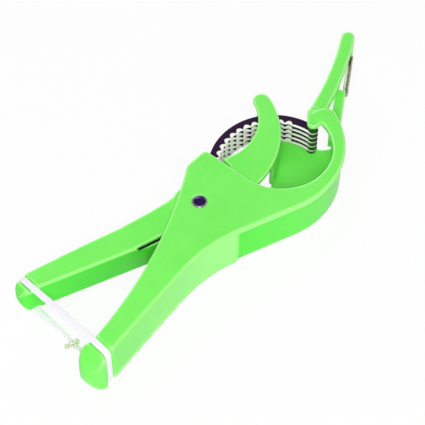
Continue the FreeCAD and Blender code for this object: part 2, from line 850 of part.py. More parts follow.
def coil_nodes():
    """Points and directions each quarter turn, from the short leg up to the long leg."""
    start = short_leg_angle - 90.0
    end = long_leg_angle + 90.0
    total = (start - end) % 360.0 + 360.0 * coil_full_turns
    quarters = round(total / 90.0)
    rise = lever_top - wire_diameter - spring_floor - wire_diameter
    nodes = []
    for i in range(quarters + 1):
        share = i / quarters
        angle = math.radians(start - total * share)
        point = FreeCAD.Vector(coil_radius * math.cos(angle), coil_radius * math.sin(angle), 0)
        point.z = spring_floor + wire_diameter + rise * share
        slope = rise / (math.radians(total) * coil_radius)
        if i in (0, quarters):
            slope = 0.0
        direction = FreeCAD.Vector(math.sin(angle), -math.cos(angle), slope).normalize()
        nodes.append((point, direction))
    return nodes


def coil_gap(nodes):
    """Least clear gap between neighbouring turns, measured on the nodes."""
    least = math.inf
    for i, (point, _) in enumerate(nodes):
        for other, _ in nodes[i + 3:]:
            least = min(least, (point - other).Length - wire_diameter)
    return least


def return_spring():
    """Torsion spring: a coil on the lever's boss with a leg to each handle."""
    nodes = coil_nodes()
    first, first_direction = nodes[0]
    last, last_direction = nodes[-1]
    foot = first - first_direction * short_leg_length
    edges = [Part.LineSegment(foot, first).toShape()]
    for (p0, t0), (p1, t1) in zip(nodes, nodes[1:]):
        edges.extend(biarc(p0, t0, p1, t1))
    edges.append(Part.LineSegment(last, last + last_direction * long_leg_length).toShape())
    path = Part.Wire(edges)
    section = Part.Wire(Part.Circle(foot, first_direction, wire_diameter / 2).toShape())
    wire = path.makePipeShell([section], True, False)
    print("spring volume over section times length:",
          round(wire.Volume / (math.pi * wire_diameter ** 2 / 4 * path.Length), 4))
    print("least gap between turns:", round(coil_gap(nodes), 3))
    return wire


def peeler_blade():
    """Swivelling channel blade with a slot, end webs and a tang at each end."""
    start = peeler_end_gap
    end = peeler_span - peeler_end_gap
    outer = peeler_blade_radius
    inner = outer - peeler_blade_thickness
    low = peeler_blade_facing - peeler_blade_spread / 2
    high = peeler_blade_facing + peeler_blade_spread / 2
    web = peeler_web

    def sector(radius_in, x0, x1):
        """Part of a tube wall about the tangs' line."""
        points = [polar(0, 0, outer, a) for a in (low, peeler_blade_facing, high)]
        back = [polar(0, 0, radius_in, a) for a in (high, peeler_blade_facing, low)]
        lift = [FreeCAD.Vector(x0, p[0], peeler_z + p[1]) for p in points + back]
        edges = [
            Part.Arc(lift[0], lift[1], lift[2]).toShape(),
            Part.LineSegment(lift[2], lift[3]).toShape(),
            Part.Arc(lift[3], lift[4], lift[5]).toShape(),
            Part.LineSegment(lift[5], lift[0]).toShape(),
        ]
        return Part.Face(Part.Wire(edges)).extrude(FreeCAD.Vector(x1 - x0, 0, 0))

    channel = sector(inner, start, end)
    margin = peeler_slot_margin
    half_slot = peeler_slot / 2
    slot = block(start + margin, end - margin, -half_slot, half_slot, peeler_z - 2 * outer, peeler_z)
    channel = channel.cut(slot)
    near_web = sector(tang_diameter / 4, start, start + web)
    far_web = sector(tang_diameter / 4, end - web, end)
    line = FreeCAD.Vector(1, 0, 0)
    radius = tang_diameter / 2
    near_start = FreeCAD.Vector(-tang_length, 0, peeler_z)
    far_start = FreeCAD.Vector(end - web, 0, peeler_z)
    near = Part.makeCylinder(radius, tang_length + start + web, near_start, line)
    far = Part.makeCylinder(radius, tang_length + web + peeler_end_gap, far_start, line)
    return peeler_frame(channel.multiFuse([near_web, far_web, near, far]).removeSplitter())


def retaining_band():
    """Elastic band round both necks, with its knot on the lower strand."""
    _, _, reach = band_line()
    gap = band_clearance
    low = groove_depth - gap
    high = tool_height - groove_depth + gap
    lever_low = lever_bottom + groove_depth - gap
    lever_high = lever_top - groove_depth + gap
    near = shell_core[0] - gap
    far = reach + lever_core_end + gap
    near_in = half_knob + knob_overhang
    far_in = reach - lever_inner_end - groove_depth
    lift = (high - lever_high) * 0.2
    points = [
        (near, low), (near, high), (near_in, high), (far_in, lever_high + lift), (far, lever_high),
        (far, lever_low), (far_in, lever_low - lift), (near_in, low),
    ]
    corners = [FreeCAD.Vector(s, 0, z) for s, z in points]
    inner = Part.makePolygon(corners + corners[:1])
    outer = inner.makeOffset2D(band_thickness)
    across = FreeCAD.Vector(0, band_width, 0)
    strap = Part.Face(outer).extrude(across).cut(Part.Face(inner).extrude(across))
    strap.translate(across * -0.5)
    middle = (near_in + far_in) / 2
    knot_level = (low + lever_low) / 2 - lift / 2
    knot = Part.makeSphere(knot_radius, FreeCAD.Vector(middle, 0, knot_level))
    stub_start = FreeCAD.Vector(middle, 0, knot_level)
    stub = Part.makeCylinder(stub_radius, stub_length, stub_start, FreeCAD.Vector(0.3, 1, 0))
    return band_frame(strap.fuse(knot).fuse(stub).removeSplitter())


def main():
    """Build every node and write it to its file."""
    nodes = {
        "front_shell": front_shell(),
        "back_shell": back_shell(),
        "blade_pin_tip": blade_pin(blade_tip_pin),
        "blade_pin_root": blade_pin(blade_root_pin),
        "root_spacers": root_spacers(),
        "tip_post": tip_post(),
        "pivot_sleeve": pivot_sleeve(),
        "pivot_rivet": pivot_rivet(),
        "pivot_washer": pivot_washer(),
        "shell_screws": shell_screws(),
        "pusher_lever": pusher_lever(),
        "return_spring": return_spring(),
        "peeler_blade": peeler_blade(),
        "retaining_band": retaining_band(),
    }
    for i, level in enumerate(blade_levels):
        nodes["slicing_blade_%d" % (i + 1)] = slicing_blade(level)
    os.makedirs("parts", exist_ok=True)
    for name, shape in nodes.items():
        print(name, len(shape.Solids), shape.isValid(), round(shape.Volume, 1), shape.BoundBox)
        shape.exportStep("parts/%s.step" % name)


if __name__ == "__main__":
    main()
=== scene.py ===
"""Studio scene of a plier-type vegetable cutter with a tip peeler.

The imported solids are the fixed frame. The moulded plastic pieces are softened copies of their
solids, and the blades, the spring, the band, the rivet and the screws are built here. The other
solids stay as they are and get a finish.
"""
import logging
import math
from dataclasses import dataclass, field
from enum import Enum

import bmesh
import bpy
import numpy as np
from mathutils import Matrix, Vector


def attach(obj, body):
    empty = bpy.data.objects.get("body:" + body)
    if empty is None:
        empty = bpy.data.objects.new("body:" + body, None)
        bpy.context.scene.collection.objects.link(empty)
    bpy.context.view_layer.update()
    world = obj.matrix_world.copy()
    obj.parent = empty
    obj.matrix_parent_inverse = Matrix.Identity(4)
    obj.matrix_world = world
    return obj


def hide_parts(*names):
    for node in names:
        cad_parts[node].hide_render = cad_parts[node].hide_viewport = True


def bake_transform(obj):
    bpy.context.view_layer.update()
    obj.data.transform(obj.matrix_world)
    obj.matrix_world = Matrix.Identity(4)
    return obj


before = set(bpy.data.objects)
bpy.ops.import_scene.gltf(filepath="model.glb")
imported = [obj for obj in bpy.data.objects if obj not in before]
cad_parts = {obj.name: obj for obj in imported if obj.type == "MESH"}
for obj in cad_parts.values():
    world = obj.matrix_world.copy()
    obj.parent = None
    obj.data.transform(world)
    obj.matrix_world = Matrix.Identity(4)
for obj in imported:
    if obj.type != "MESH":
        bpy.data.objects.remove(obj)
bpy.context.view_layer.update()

LOG = logging.getLogger("cutter")
MM = 0.001
SMOOTHING = 0.5
# Convexity thresholds of the rim mask that places the painted highlight on moulded rims.
RIM_START = 0.4
RIM_BEND = 2.6 * MM
SOLID_WELD = 1e-6
LATHE_WELD = 1e-7
BLADE_WELD = 2e-6
Rgb = tuple[float, float, float]
Point = tuple[float, float, float]
Span = tuple[float, float]


class Body(Enum):
    """Rigid bodies that the new pieces ride on."""

    SHELL = "shell"
    LEVER = "lever"


def srgb(red: int, green: int, blue: int) -> Rgb:
    """Linear colour of an sRGB triple.

    Args:
        red: red from 0 to 255.
        green: green from 0 to 255.
        blue: blue from 0 to 255.

    Returns:
        The linear colour.
    """
    def channel(value: int) -> float:
        """Linear value of one sRGB channel."""
        share = value / 255.0
        return share / 12.92 if share <= 0.04045 else ((share + 0.055) / 1.055) ** 2.4

    return (channel(red), channel(green), channel(blue))


class Board:
    """A node tree with short calls to add and join nodes."""

    prefix = ""

    def __init__(self, tree: bpy.types.NodeTree) -> None:
        """Hold a tree.

        Args:
            tree: the node tree to work on.
        """
        self.tree = tree

    def add(self, kind: str, **settings: object) -> bpy.types.Node:
        """Add a node and set its properties or inputs.

        Args:
            kind: the node's type name without the board's prefix, or a full ShaderNode name.
            settings: property names, or input names with underscores for spaces.

        Returns:
            The new node.
        """
        node = self.tree.nodes.new(kind if kind.startswith("Shader") else self.prefix + kind)
        for key, value in settings.items():
            if hasattr(node, key):
                setattr(node, key, value)
            else:
                node.inputs[key.replace("_", " ")].default_value = value
        return node

    def join(self, source: bpy.types.NodeSocket, target: bpy.types.NodeSocket) -> None:
        """Link one socket to another.

        Args:
            source: the output to read.
            target: the input to drive.
        """
        self.tree.links.new(source, target)


class NodeBoard(Board):
    """The node tree of a material or a world."""

    prefix = "ShaderNode"
    mix_inputs = (0, 6, 7)
    mix_result = 2

    def __init__(self, name: str, world: bool = False) -> None:
        """Start an empty material or world.

        Args:
            name: the material's or world's name.
            world: whether it is a world.
        """
        self.owner = (bpy.data.worlds if world else bpy.data.materials).new(name)
        self.owner.use_nodes = True
        super().__init__(self.owner.node_tree)
        self.tree.nodes.clear()
        self.output = self.add("OutputWorld" if world else "OutputMaterial")

    def place(self) -> bpy.types.NodeSocket:
        """Place on the object, in its own axes.

        Returns:
            The place's socket.
        """
        return self.add("TexCoord").outputs["Object"]

    def noise(self, place: bpy.types.NodeSocket, **settings: float) -> bpy.types.NodeSocket:
        """Noise over a place.

        Args:
            place: the socket that holds the place.
            settings: the noise's inputs.

        Returns:
            The noise's value socket.
        """
        node = self.add("TexNoise", **settings)
        self.join(place, node.inputs["Vector"])
        return node.outputs["Fac"]

    def stored(self, name: str) -> bpy.types.NodeSocket:
        """Value that the mesh stores under a name.

        Args:
            name: the attribute's name.

        Returns:
            The value's socket.
        """
        return self.add("Attribute", attribute_name=name).outputs["Fac"]

    def ramp(self, source: bpy.types.NodeSocket, span: Span, low: Rgb, high: Rgb) -> bpy.types.NodeSocket:
        """Colour ramp over a value.

        Args:
            source: the socket that drives the ramp.
            span: the values of the two colours.
            low: linear colour at the span's start.
            high: linear colour at the span's end.

        Returns:
            The ramp's colour socket.
        """
        node = self.add("ValToRGB")
        for element, position, colour in zip(node.color_ramp.elements, span, (low, high)):
            element.position = position
            element.color = (*colour, 1.0)
        self.join(source, node.inputs["Fac"])
        return node.outputs["Color"]

    def spread(self, source: bpy.types.NodeSocket, low: float, high: float) -> bpy.types.NodeSocket:
        """Map a value from 0..1 to a range.

        Args:
            source: the socket that holds the value.
            low: the range's start.
            high: the range's end.

        Returns:
            The mapped value's socket.
        """
        node = self.add("MapRange", To_Min=low, To_Max=high)
        self.join(source, node.inputs["Value"])
        return node.outputs["Result"]

    def tint(
        self, share: bpy.types.NodeSocket, base: bpy.types.NodeSocket, colour: Rgb,
    ) -> bpy.types.NodeSocket:
        """Blend a colour over another.

        Args:
            share: the socket that holds the second colour's share.
            base: the first colour's socket.
            colour: the second colour.

        Returns:
            The blended colour's socket.
        """
        mix = self.add("Mix", data_type="RGBA")
        factor, first, second = (mix.inputs[i] for i in self.mix_inputs)
        self.join(share, factor)
        self.join(base, first)
        second.default_value = (*colour, 1.0)
        return mix.outputs[self.mix_result]

    def surface(
        self, shader: bpy.types.Node, height: bpy.types.NodeSocket, strength: float, depth: float,
    ) -> bpy.types.Material:
        """Give a shader a fine relief and make it the material's surface.

        Args:
            shader: the shader node.
            height: the socket that holds the relief.
            strength: how strong the relief is.
            depth: the relief's depth in metres.

        Returns:
            The material.
        """
        bump = self.add("Bump", Strength=strength, Distance=depth)
        self.join(height, bump.inputs["Height"])
        self.join(bump.outputs["Normal"], shader.inputs["Normal"])
        self.join(shader.outputs["BSDF"], self.output.inputs["Surface"])
        return self.owner


@dataclass(frozen=True)
class MouldedPlastic:
    """Bright satin plastic with a faint flow mottling, a painted highlight on convex rims, painted light or
    painted shade on upright walls, and a fine moulded grain.
    """

    name: str
    colour: Rgb
    deep: Rgb
    # rim: a paler colour painted as a highlight on convex rims. The wall colour: painted light on lit
    # upright walls, painted shade on walls in shade.
    rim: Rgb
    wall_light_and_shade: Rgb
    roughness: float = 0.36
    roughness_swing: float = 0.06
    grain_scale: float = 2600.0
    grain_strength: float = 0.025
    grain_depth: float = 0.2 * MM
    mottle_scale: float = 38.0
    mottle_span: Span = (0.35, 0.65)
    glow: float = 0.3
    glow_depth: float = 4.0 * MM
    glow_reach: Rgb = (0.35, 1.0, 0.22)

    def material(self) -> bpy.types.Material:
        """Build the plastic's node material.

        Returns:
            The material.
        """
        board = NodeBoard(self.name)
        place = board.place()
        mottle = board.noise(place, Scale=self.mottle_scale, Detail=3.0, Roughness=0.55)
        grain = board.noise(place, Scale=self.grain_scale, Detail=2.0)
        shader = board.add(
            "BsdfPrincipled",
            IOR=1.46,
            Subsurface_Weight=self.glow,
            Subsurface_Scale=self.glow_depth,
            Subsurface_Radius=self.glow_reach,
        )
        colour = board.ramp(mottle, self.mottle_span, self.deep, self.colour)
        # Paint light and shade over the mottled colour: the wall colour as painted light or painted shade on
        # upright walls, the rim colour as a painted highlight on convex rims.
        for attribute, tint in (("wall_light_and_shade", self.wall_light_and_shade), ("rim", self.rim)):
            colour = board.tint(board.stored(attribute), colour, tint)
        board.join(colour, shader.inputs["Base Color"])
        low = self.roughness - self.roughness_swing
        high = self.roughness + self.roughness_swing
        board.join(board.spread(mottle, low, high), shader.inputs["Roughness"])
        return board.surface(shader, grain, self.grain_strength, self.grain_depth)


@dataclass(frozen=True)
class Steel:
    """Ground or drawn steel with fine marks along the piece."""

    name: str
    colour: Rgb
    shade: Rgb
    roughness: float = 0.28
    roughness_drop: float = 0.08
    roughness_rise: float = 0.1
    mark_scale: Point = (900.0, 900.0, 60.0)
    mark_span: Span = (0.3, 0.7)
    mark_strength: float = 0.06
    mark_depth: float = 0.1 * MM

    def material(self) -> bpy.types.Material:
        """Build the steel's node material.

        Returns:
            The material.
        """
        board = NodeBoard(self.name)
        mapping = board.add("Mapping", Scale=self.mark_scale)
        board.join(board.place(), mapping.inputs["Vector"])
        marks = board.noise(mapping.outputs["Vector"], Scale=1.0, Detail=4.0, Roughness=0.6)
        shader = board.add("BsdfPrincipled", Metallic=1.0)
        colour = board.ramp(marks, self.mark_span, self.shade, self.colour)
        board.join(colour, shader.inputs["Base Color"])
        low = self.roughness - self.roughness_drop
        high = self.roughness + self.roughness_rise
        board.join(board.spread(marks, low, high), shader.inputs["Roughness"])
        return board.surface(shader, marks, self.mark_strength, self.mark_depth)


@dataclass(frozen=True)
class BladeSteel:
    """Steel with a dark face colour that is a painted dark reflection, and a separate colour on its ground
    edge or rim.
    """

    name: str
    face: Rgb
    face_light: Rgb
    edge: Rgb
    face_roughness: float = 0.42
    edge_roughness: float = 0.2
    face_metal: float = 0.55
    edge_metal: float = 0.15
    gloss: float = 0.15
    streak_scale: float = 700.0
    streak_span: Span = (0.3, 0.7)
    streak_strength: float = 0.08
    streak_depth: float = 0.1 * MM

    def material(self) -> bpy.types.Material:
        """Build the coated steel's node material.

        Returns:
            The material.
        """
        board = NodeBoard(self.name)
        streak = board.noise(board.place(), Scale=self.streak_scale, Detail=4.0, Roughness=0.6)
        ground = board.stored("ground")
        shader = board.add("BsdfPrincipled", Specular_IOR_Level=self.gloss)
        face = board.ramp(streak, self.streak_span, self.face, self.face_light)
        board.join(board.tint(ground, face, self.edge), shader.inputs["Base Color"])
        rough = board.spread(ground, self.face_roughness, self.edge_roughness)
        board.join(rough, shader.inputs["Roughness"])
        metal = board.spread(ground, self.face_metal, self.edge_metal)
        board.join(metal, shader.inputs["Metallic"])
        return board.surface(shader, streak, self.streak_strength, self.streak_depth)


@dataclass(frozen=True)
class WovenElastic:
    """White braided elastic with fine ribs along the band."""

    name: str
    colour: Rgb
    shade: Rgb
    rib_scale: float = 1500.0
    rib_span: Span = (0.1, 0.6)
    weave_scale: float = 2400.0
    weave_strength: float = 0.25
    weave_depth: float = 0.2 * MM

    def material(self) -> bpy.types.Material:
        """Build the elastic's node material.

        Returns:
            The material.
        """
        board = NodeBoard(self.name)
        place = board.place()
        ribs = board.add("TexWave", Scale=self.rib_scale, Distortion=1.2, Detail=2.0)
        board.join(place, ribs.inputs["Vector"])
        weave = board.noise(place, Scale=self.weave_scale, Detail=2.0)
        shader = board.add("BsdfPrincipled", Roughness=0.72)
        colour = board.ramp(ribs.outputs["Fac"], self.rib_span, self.shade, self.colour)
        board.join(colour, shader.inputs["Base Color"])
        return board.surface(shader, weave, self.weave_strength, self.weave_depth)


LIME = srgb(121, 237, 95)
LIME_DEEP = srgb(112, 232, 85)
# Paler lime: painted highlight on the rims of all green mouldings, and painted light on the front shell's
# lit upright walls.
LIME_PAINTED_LIGHT = srgb(164, 250, 138)
GREEN = MouldedPlastic("green_plastic", LIME, LIME_DEEP, rim=LIME_PAINTED_LIGHT, wall_light_and_shade=LIME_PAINTED_LIGHT)
# Same lime, with a saturated darker wall colour: painted shade and green bounce light on the lever's inner
# walls and the back shell's recessed hook wall.
GREEN_PAINTED_WALL_SHADE = MouldedPlastic("green_plastic_painted_wall_shade", LIME, LIME_DEEP, rim=LIME_PAINTED_LIGHT, wall_light_and_shade=srgb(58, 224, 26))
# Tip post and root spacers: the shells' green plastic painted dark as painted shade in the slots under the
# plate's tip, with a paler painted highlight on rims.
POST_PAINTED_SHADE = MouldedPlastic(
    "post_plastic",
    srgb(34, 84, 28),
    srgb(24, 64, 22),
    rim=srgb(60, 120, 46),
    wall_light_and_shade=srgb(34, 84, 28),
    roughness=0.5,
    glow=0.0,
)
# Blades: the purple-black face is a painted dark reflection; the near-white edge is bare ground steel with a
# painted highlight.
SLICER = BladeSteel("slicing_steel", srgb(34, 6, 44), srgb(46, 16, 56), srgb(246, 248, 238))
PEELER_STEEL = Steel("peeler_steel", srgb(196, 200, 178), srgb(128, 136, 112), roughness=0.24)
PIN_STEEL = Steel("pin_steel", srgb(190, 190, 192), srgb(160, 160, 164))
# Rivet: the dark purple dome is a painted dark reflection; the rim is plain mid-grey steel.
RIVET_STEEL = BladeSteel(
    "rivet_steel",
    srgb(36, 20, 62),
    srgb(52, 32, 80),
    srgb(132, 144, 138),
    face_roughness=0.14,
    face_metal=1.0,
    edge_metal=1.0,
)
SPRING_STEEL = Steel("spring_wire", srgb(46, 46, 48), srgb(20, 20, 22), roughness=0.34)
ELASTIC = WovenElastic("white_elastic", srgb(246, 244, 250), srgb(226, 222, 232))
# Knot: darker cream as painted shade of the lower strand between the handles, with a green cast of bounce
# light.
KNOT_PAINTED_SHADE_ELASTIC = WovenElastic("knot_painted_shade_elastic", srgb(236, 236, 218), srgb(206, 208, 186))


class GeometryBoard(Board):
    """A Geometry Nodes tree with named inputs for its sizes."""

    prefix = "GeometryNode"

    def __init__(self, name: str) -> None:
        """Start a tree with a geometry input and output.

        Args:
            name: the tree's name.
        """
        super().__init__(bpy.data.node_groups.new(name, "GeometryNodeTree"))
        self.values: dict[str, object] = {}
        for way in ("INPUT", "OUTPUT"):
            self.tree.interface.new_socket("Geometry", in_out=way, socket_type="NodeSocketGeometry")
        self.source = self.tree.nodes.new("NodeGroupInput")
        self.result = self.tree.nodes.new("NodeGroupOutput")

    def size(self, name: str, value: float | int, kind: str = "Float") -> bpy.types.NodeSocket:
        """Add a named input.

        Args:
            name: the input's name.
            value: what the modifier sets it to.
            kind: Float or Int.

        Returns:
            The input's socket in the tree.
        """
        socket = self.tree.interface.new_socket(name, in_out="INPUT", socket_type="NodeSocket" + kind)
        self.values[socket.identifier] = value
        return self.source.outputs[name]

    def close(self, shape: bpy.types.NodeSocket, material: bpy.types.Material) -> None:
        """End the tree in real, dressed geometry.

        Args:
            shape: the geometry to hand out.
            material: the finish of the whole shape.
        """
        real = self.add("RealizeInstances")
        finish = self.add("SetMaterial", Material=material)
        self.join(shape, real.inputs["Geometry"])
        self.join(real.outputs["Geometry"], finish.inputs["Geometry"])
        self.join(finish.outputs["Geometry"], self.result.inputs["Geometry"])

    def run(self, piece: bpy.types.Object) -> None:
        """Put the tree on a piece, set its sizes and bake it to a plain mesh.

        Args:
            piece: the object that carries the source geometry.
        """
        modifier = piece.modifiers.new(self.tree.name, "NODES")
        modifier.node_group = self.tree
        for identifier, value in self.values.items():
            modifier[identifier] = value
        bake(piece)


def link(name: str, mesh: bpy.types.Mesh) -> bpy.types.Object:
    """Put a mesh in the scene as an object at the origin.

    Args:
        name: the object's name.
        mesh: its mesh.

    Returns:
        The new object.
    """
    piece = bpy.data.objects.new(name, mesh)
    bpy.context.scene.collection.objects.link(piece)
    return piece


def link_shape(name: str, shape: bmesh.types.BMesh) -> bpy.types.Object:
    """Put a shape that was built point by point in the scene, and free it.

    Args:
        name: the object's name.
        shape: the shape.

    Returns:
        The new object.
    """
    mesh = bpy.data.meshes.new(name)
    shape.to_mesh(mesh)
    shape.free()
    return link(name, mesh)


def bake(piece: bpy.types.Object) -> None:
    """Replace a piece's mesh by its evaluated form and drop its modifiers.

    Args:
        piece: the object to bake.
    """
    graph = bpy.context.evaluated_depsgraph_get()
    mesh = bpy.data.meshes.new_from_object(piece.evaluated_get(graph))
    piece.modifiers.clear()
    piece.data = mesh


def shade_smooth(piece: bpy.types.Object) -> None:
    """Shade a piece's faces smooth.

    Args:
        piece: the object to shade.
    """
    for face in piece.data.polygons:
        face.use_smooth = True


def dress(piece: bpy.types.Object, material: bpy.types.Material) -> None:
    """Give a piece one material and smooth faces.

    Args:
        piece: the object to dress.
        material: the finish.
    """
    piece.data.materials.clear()
    piece.data.materials.append(material)
    shade_smooth(piece)


def smooth(piece: bpy.types.Object, rounds: int, group: str = "") -> None:
    """Smooth a piece's points and bake the result.

    Args:
        piece: the object to smooth.
        rounds: how often its points are smoothed.
        group: the vertex group that weighs the smoothing, or none for all points.
    """
    modifier = piece.modifiers.new("smooth", "SMOOTH")
    modifier.factor = SMOOTHING
    modifier.iterations = rounds
    modifier.vertex_group = group
    bake(piece)


@dataclass
class PaintedWallShare:
    """Share of the painted wall colour on upright walls, which rises along X: painted light on some pieces,
    painted shade on others. Places in millimetres.
    """

    share: float
    start: float = -92.0
    full: float = 8.0
    beyond: float = 1.0

    def at(self, along: np.ndarray) -> np.ndarray:
        """Share at places along X.

        Args:
            along: the places in metres.

        Returns:
            The share at each place.
        """
        rise = (along / MM - self.start) / (self.full - self.start)
        return self.share * np.where(rise > 1.0, self.beyond, np.maximum(rise, 0.0))


@dataclass
class BluntEnd:
    """Rounding of a handle's end beyond a plane. Sizes in millimetres."""

    start: tuple[float, float]
    heading: float
    rounds: int
    fade: float = 2.5

    def ease(self, piece: bpy.types.Object) -> None:
        """Smooth the points past the plane.

        Args:
            piece: the object to ease.
        """
        turn = math.radians(self.heading)
        along = Vector((math.cos(turn), math.sin(turn), 0.0))
        origin = Vector((self.start[0] * MM, self.start[1] * MM, 0.0))
        group = piece.vertex_groups.new(name="blunt_end")
        for vert in piece.data.vertices:
            reach = (vert.co - origin).dot(along) / (self.fade * MM)
            if reach > 0.0:
                group.add([vert.index], min(reach, 1.0), "REPLACE")
        smooth(piece, self.rounds, group.name)
        piece.vertex_groups.clear()


def mark_rims(piece: bpy.types.Object, walls: PaintedWallShare) -> None:
    """Store how convex or upright each point is, so that the finish can paint highlights on rims, and
    painted light on some pieces' walls and painted shade on others'.

    Args:
        piece: the object to mark.
        walls: the share of the painted wall colour given to upright walls.
    """
    mesh = piece.data
    count = len(mesh.vertices)
    places = np.empty(count * 3)
    normals = np.empty(count * 3)
    pairs = np.empty(len(mesh.edges) * 2, dtype=np.int64)
    mesh.vertices.foreach_get("co", places)
    mesh.vertices.foreach_get("normal", normals)
    mesh.edges.foreach_get("vertices", pairs)
    places = places.reshape(-1, 3)
    normals = normals.reshape(-1, 3)
    first, second = pairs.reshape(-1, 2).T
    along = places[second] - places[first]
    bend = ((normals[second] - normals[first]) * along).sum(1) / (along * along).sum(1)
    total = np.bincount(first, bend, count) + np.bincount(second, bend, count)
    shared = np.bincount(first, minlength=count) + np.bincount(second, minlength=count)
    sharp = total / np.maximum(shared, 1) * RIM_BEND
    # Share of the painted highlight on convex rims, and of the painted wall light or shade on upright walls.
    rim = np.clip((sharp - RIM_START) / (1.0 - RIM_START), 0.0, 1.0)
    wall_light_and_shade = np.clip(walls.at(places[:, 0]) * (1.0 - np.abs(normals[:, 2])), 0.0, 1.0)
    for name, values in (("rim", rim), ("wall_light_and_shade", wall_light_and_shade)):
        store = mesh.attributes.new(name, "FLOAT", "POINT")
        store.data.foreach_set("value", values.astype(np.float32))


def soft_copy(
    node: str, name: str, voxel: float, rounds: int, blunt: BluntEnd, walls: PaintedWallShare,
) -> bpy.types.Object:
    """Copy a moulded solid with its sharp edges eased as a mould leaves them.

    Args:
        node: the solid's name.
        name: the new piece's name.
        voxel: size of the remesh in metres.
        rounds: smoothing rounds after the remesh.
        blunt: an end that is rounded more than the rest.
        walls: how far the upright walls take the finish's painted wall colour.

    Returns:
        The new piece.
    """
    shape = bmesh.new()
    shape.from_mesh(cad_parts[node].data)
    bmesh.ops.remove_doubles(shape, verts=shape.verts, dist=SOLID_WELD)
    piece = link_shape(name, shape)
    remesh = piece.modifiers.new("remesh", "REMESH")
    remesh.mode = "VOXEL"
    remesh.voxel_size = voxel
    smooth(piece, rounds)
    blunt.ease(piece)
    mark_rims(piece, walls)
    return piece


@dataclass
class Studio:
    """Floor, lights and the camera at the photograph's angle. A lamp has a name, place, size and power."""

    azimuth: float = -50.0
    elevation: float = 54.0
    distance: float = 0.8
    focal_px: float = 1664.0
    frame_px: float = 425.0
    pivot_top: Point = (0.0, 0.0, 0.026)
    pivot_px: tuple[float, float] = (199.5, 201.0)
    sensor_mm: float = 36.0
    view_end: float = 20.0
    floor_size: float = 6.0
    floor_grey: float = 0.86
    floor_glow: float = 0.9
    world_strength: float = 0.4
    lamps: list[tuple[str, Point, float, float]] = field(default_factory=lambda: [
        ("key", (0.0, -0.1, 1.2), 0.9, 0.4),
        ("fill", (-0.5, -0.42, 0.9), 0.6, 8.0),
        ("front", (-0.75, -0.75, 0.2), 0.5, 2.6),
        ("rim", (0.62, 0.78, 0.25), 0.6, 4.0),
    ])

    def axes(self) -> tuple[Vector, Vector, Vector]:
        """Right, up and back directions of the camera.

        Returns:
            The three unit vectors.
        """
        turn = math.radians(self.azimuth)
        tilt = math.radians(self.elevation)
        back = Vector((math.sin(turn) * math.cos(tilt), -math.cos(turn) * math.cos(tilt), math.sin(tilt)))
        right = Vector((math.cos(turn), math.sin(turn), 0.0))
        return right, back.cross(right), back

    def build_camera(self) -> None:
        """Place the camera so that the pivot falls on its pixel."""
        right, up, back = self.axes()
        middle = self.frame_px / 2
        reach = self.distance / self.focal_px
        eye = Vector(self.pivot_top) + back * self.distance
        eye -= right * ((self.pivot_px[0] - middle) * reach)
        eye += up * ((self.pivot_px[1] - middle) * reach)
        data = bpy.data.cameras.new("photo_camera")
        data.sensor_width = self.sensor_mm
        data.lens = self.sensor_mm * self.focal_px / self.frame_px
        data.clip_end = self.view_end
        camera = bpy.data.objects.new("photo_camera", data)
        turn = Matrix((right, up, back)).transposed().to_4x4()
        camera.matrix_world = Matrix.Translation(eye) @ turn
        bpy.context.scene.collection.objects.link(camera)
        bpy.context.scene.camera = camera

    def seen_directly(self, board: NodeBoard) -> bpy.types.NodeSocket:
        """Value that is 1 for camera, glossy and transmission rays.

        Args:
            board: the node board to build on.

        Returns:
            The value's socket.
        """
        path = board.add("LightPath")
        seen = path.outputs["Is Camera Ray"]
        for ray in ("Is Glossy Ray", "Is Transmission Ray"):
            larger = board.add("Math", operation="MAXIMUM")
            board.join(seen, larger.inputs[0])
            board.join(path.outputs[ray], larger.inputs[1])
            seen = larger.outputs[0]
        return seen

    def build_floor(self) -> None:
        """Pale floor that stays near white and keeps a faint shadow."""
        half = self.floor_size / 2
        corners = [(-half, -half, 0), (half, -half, 0), (half, half, 0), (-half, half, 0)]
        mesh = bpy.data.meshes.new("floor")
        mesh.from_pydata(corners, [], [(0, 1, 2, 3)])
        floor = link("floor", mesh)
        board = NodeBoard("pale_floor")
        grey = self.floor_grey
        soft = board.add("BsdfDiffuse", Color=(grey, grey, grey, 1.0))
        bright = board.add("Emission")
        mix = board.add("MixShader")
        share = board.add("Math", operation="MULTIPLY")
        share.inputs[1].default_value = self.floor_glow
        board.join(self.seen_directly(board), share.inputs[0])
        board.join(share.outputs[0], mix.inputs[0])
        board.join(soft.outputs[0], mix.inputs[1])
        board.join(bright.outputs[0], mix.inputs[2])
        board.join(mix.outputs[0], board.output.inputs["Surface"])
        floor.data.materials.append(board.owner)

    def build_lights(self) -> None:
        """Soft boxes and an even white world."""
        for name, place, size, power in self.lamps:
            data = bpy.data.lights.new(name, "AREA")
            data.shape = "DISK"
            data.size = size
            data.energy = power
            lamp = bpy.data.objects.new(name, data)
            lamp.location = place
            lamp.rotation_euler = (-Vector(place)).to_track_quat("-Z", "Y").to_euler()
            bpy.context.scene.collection.objects.link(lamp)
        board = NodeBoard("studio", world=True)
        background = board.add("Background", Color=(1.0, 1.0, 1.0, 1.0))
        strength = board.spread(self.seen_directly(board), self.world_strength, 1.0)
        board.join(strength, background.inputs["Strength"])
        board.join(background.outputs[0], board.output.inputs["Surface"])
        bpy.context.scene.world = board.owner

    def build(self) -> None:
        """Build the whole studio."""
        self.build_camera()
        self.build_floor()
        self.build_lights()
        bpy.context.scene.view_settings.view_transform = "Standard"


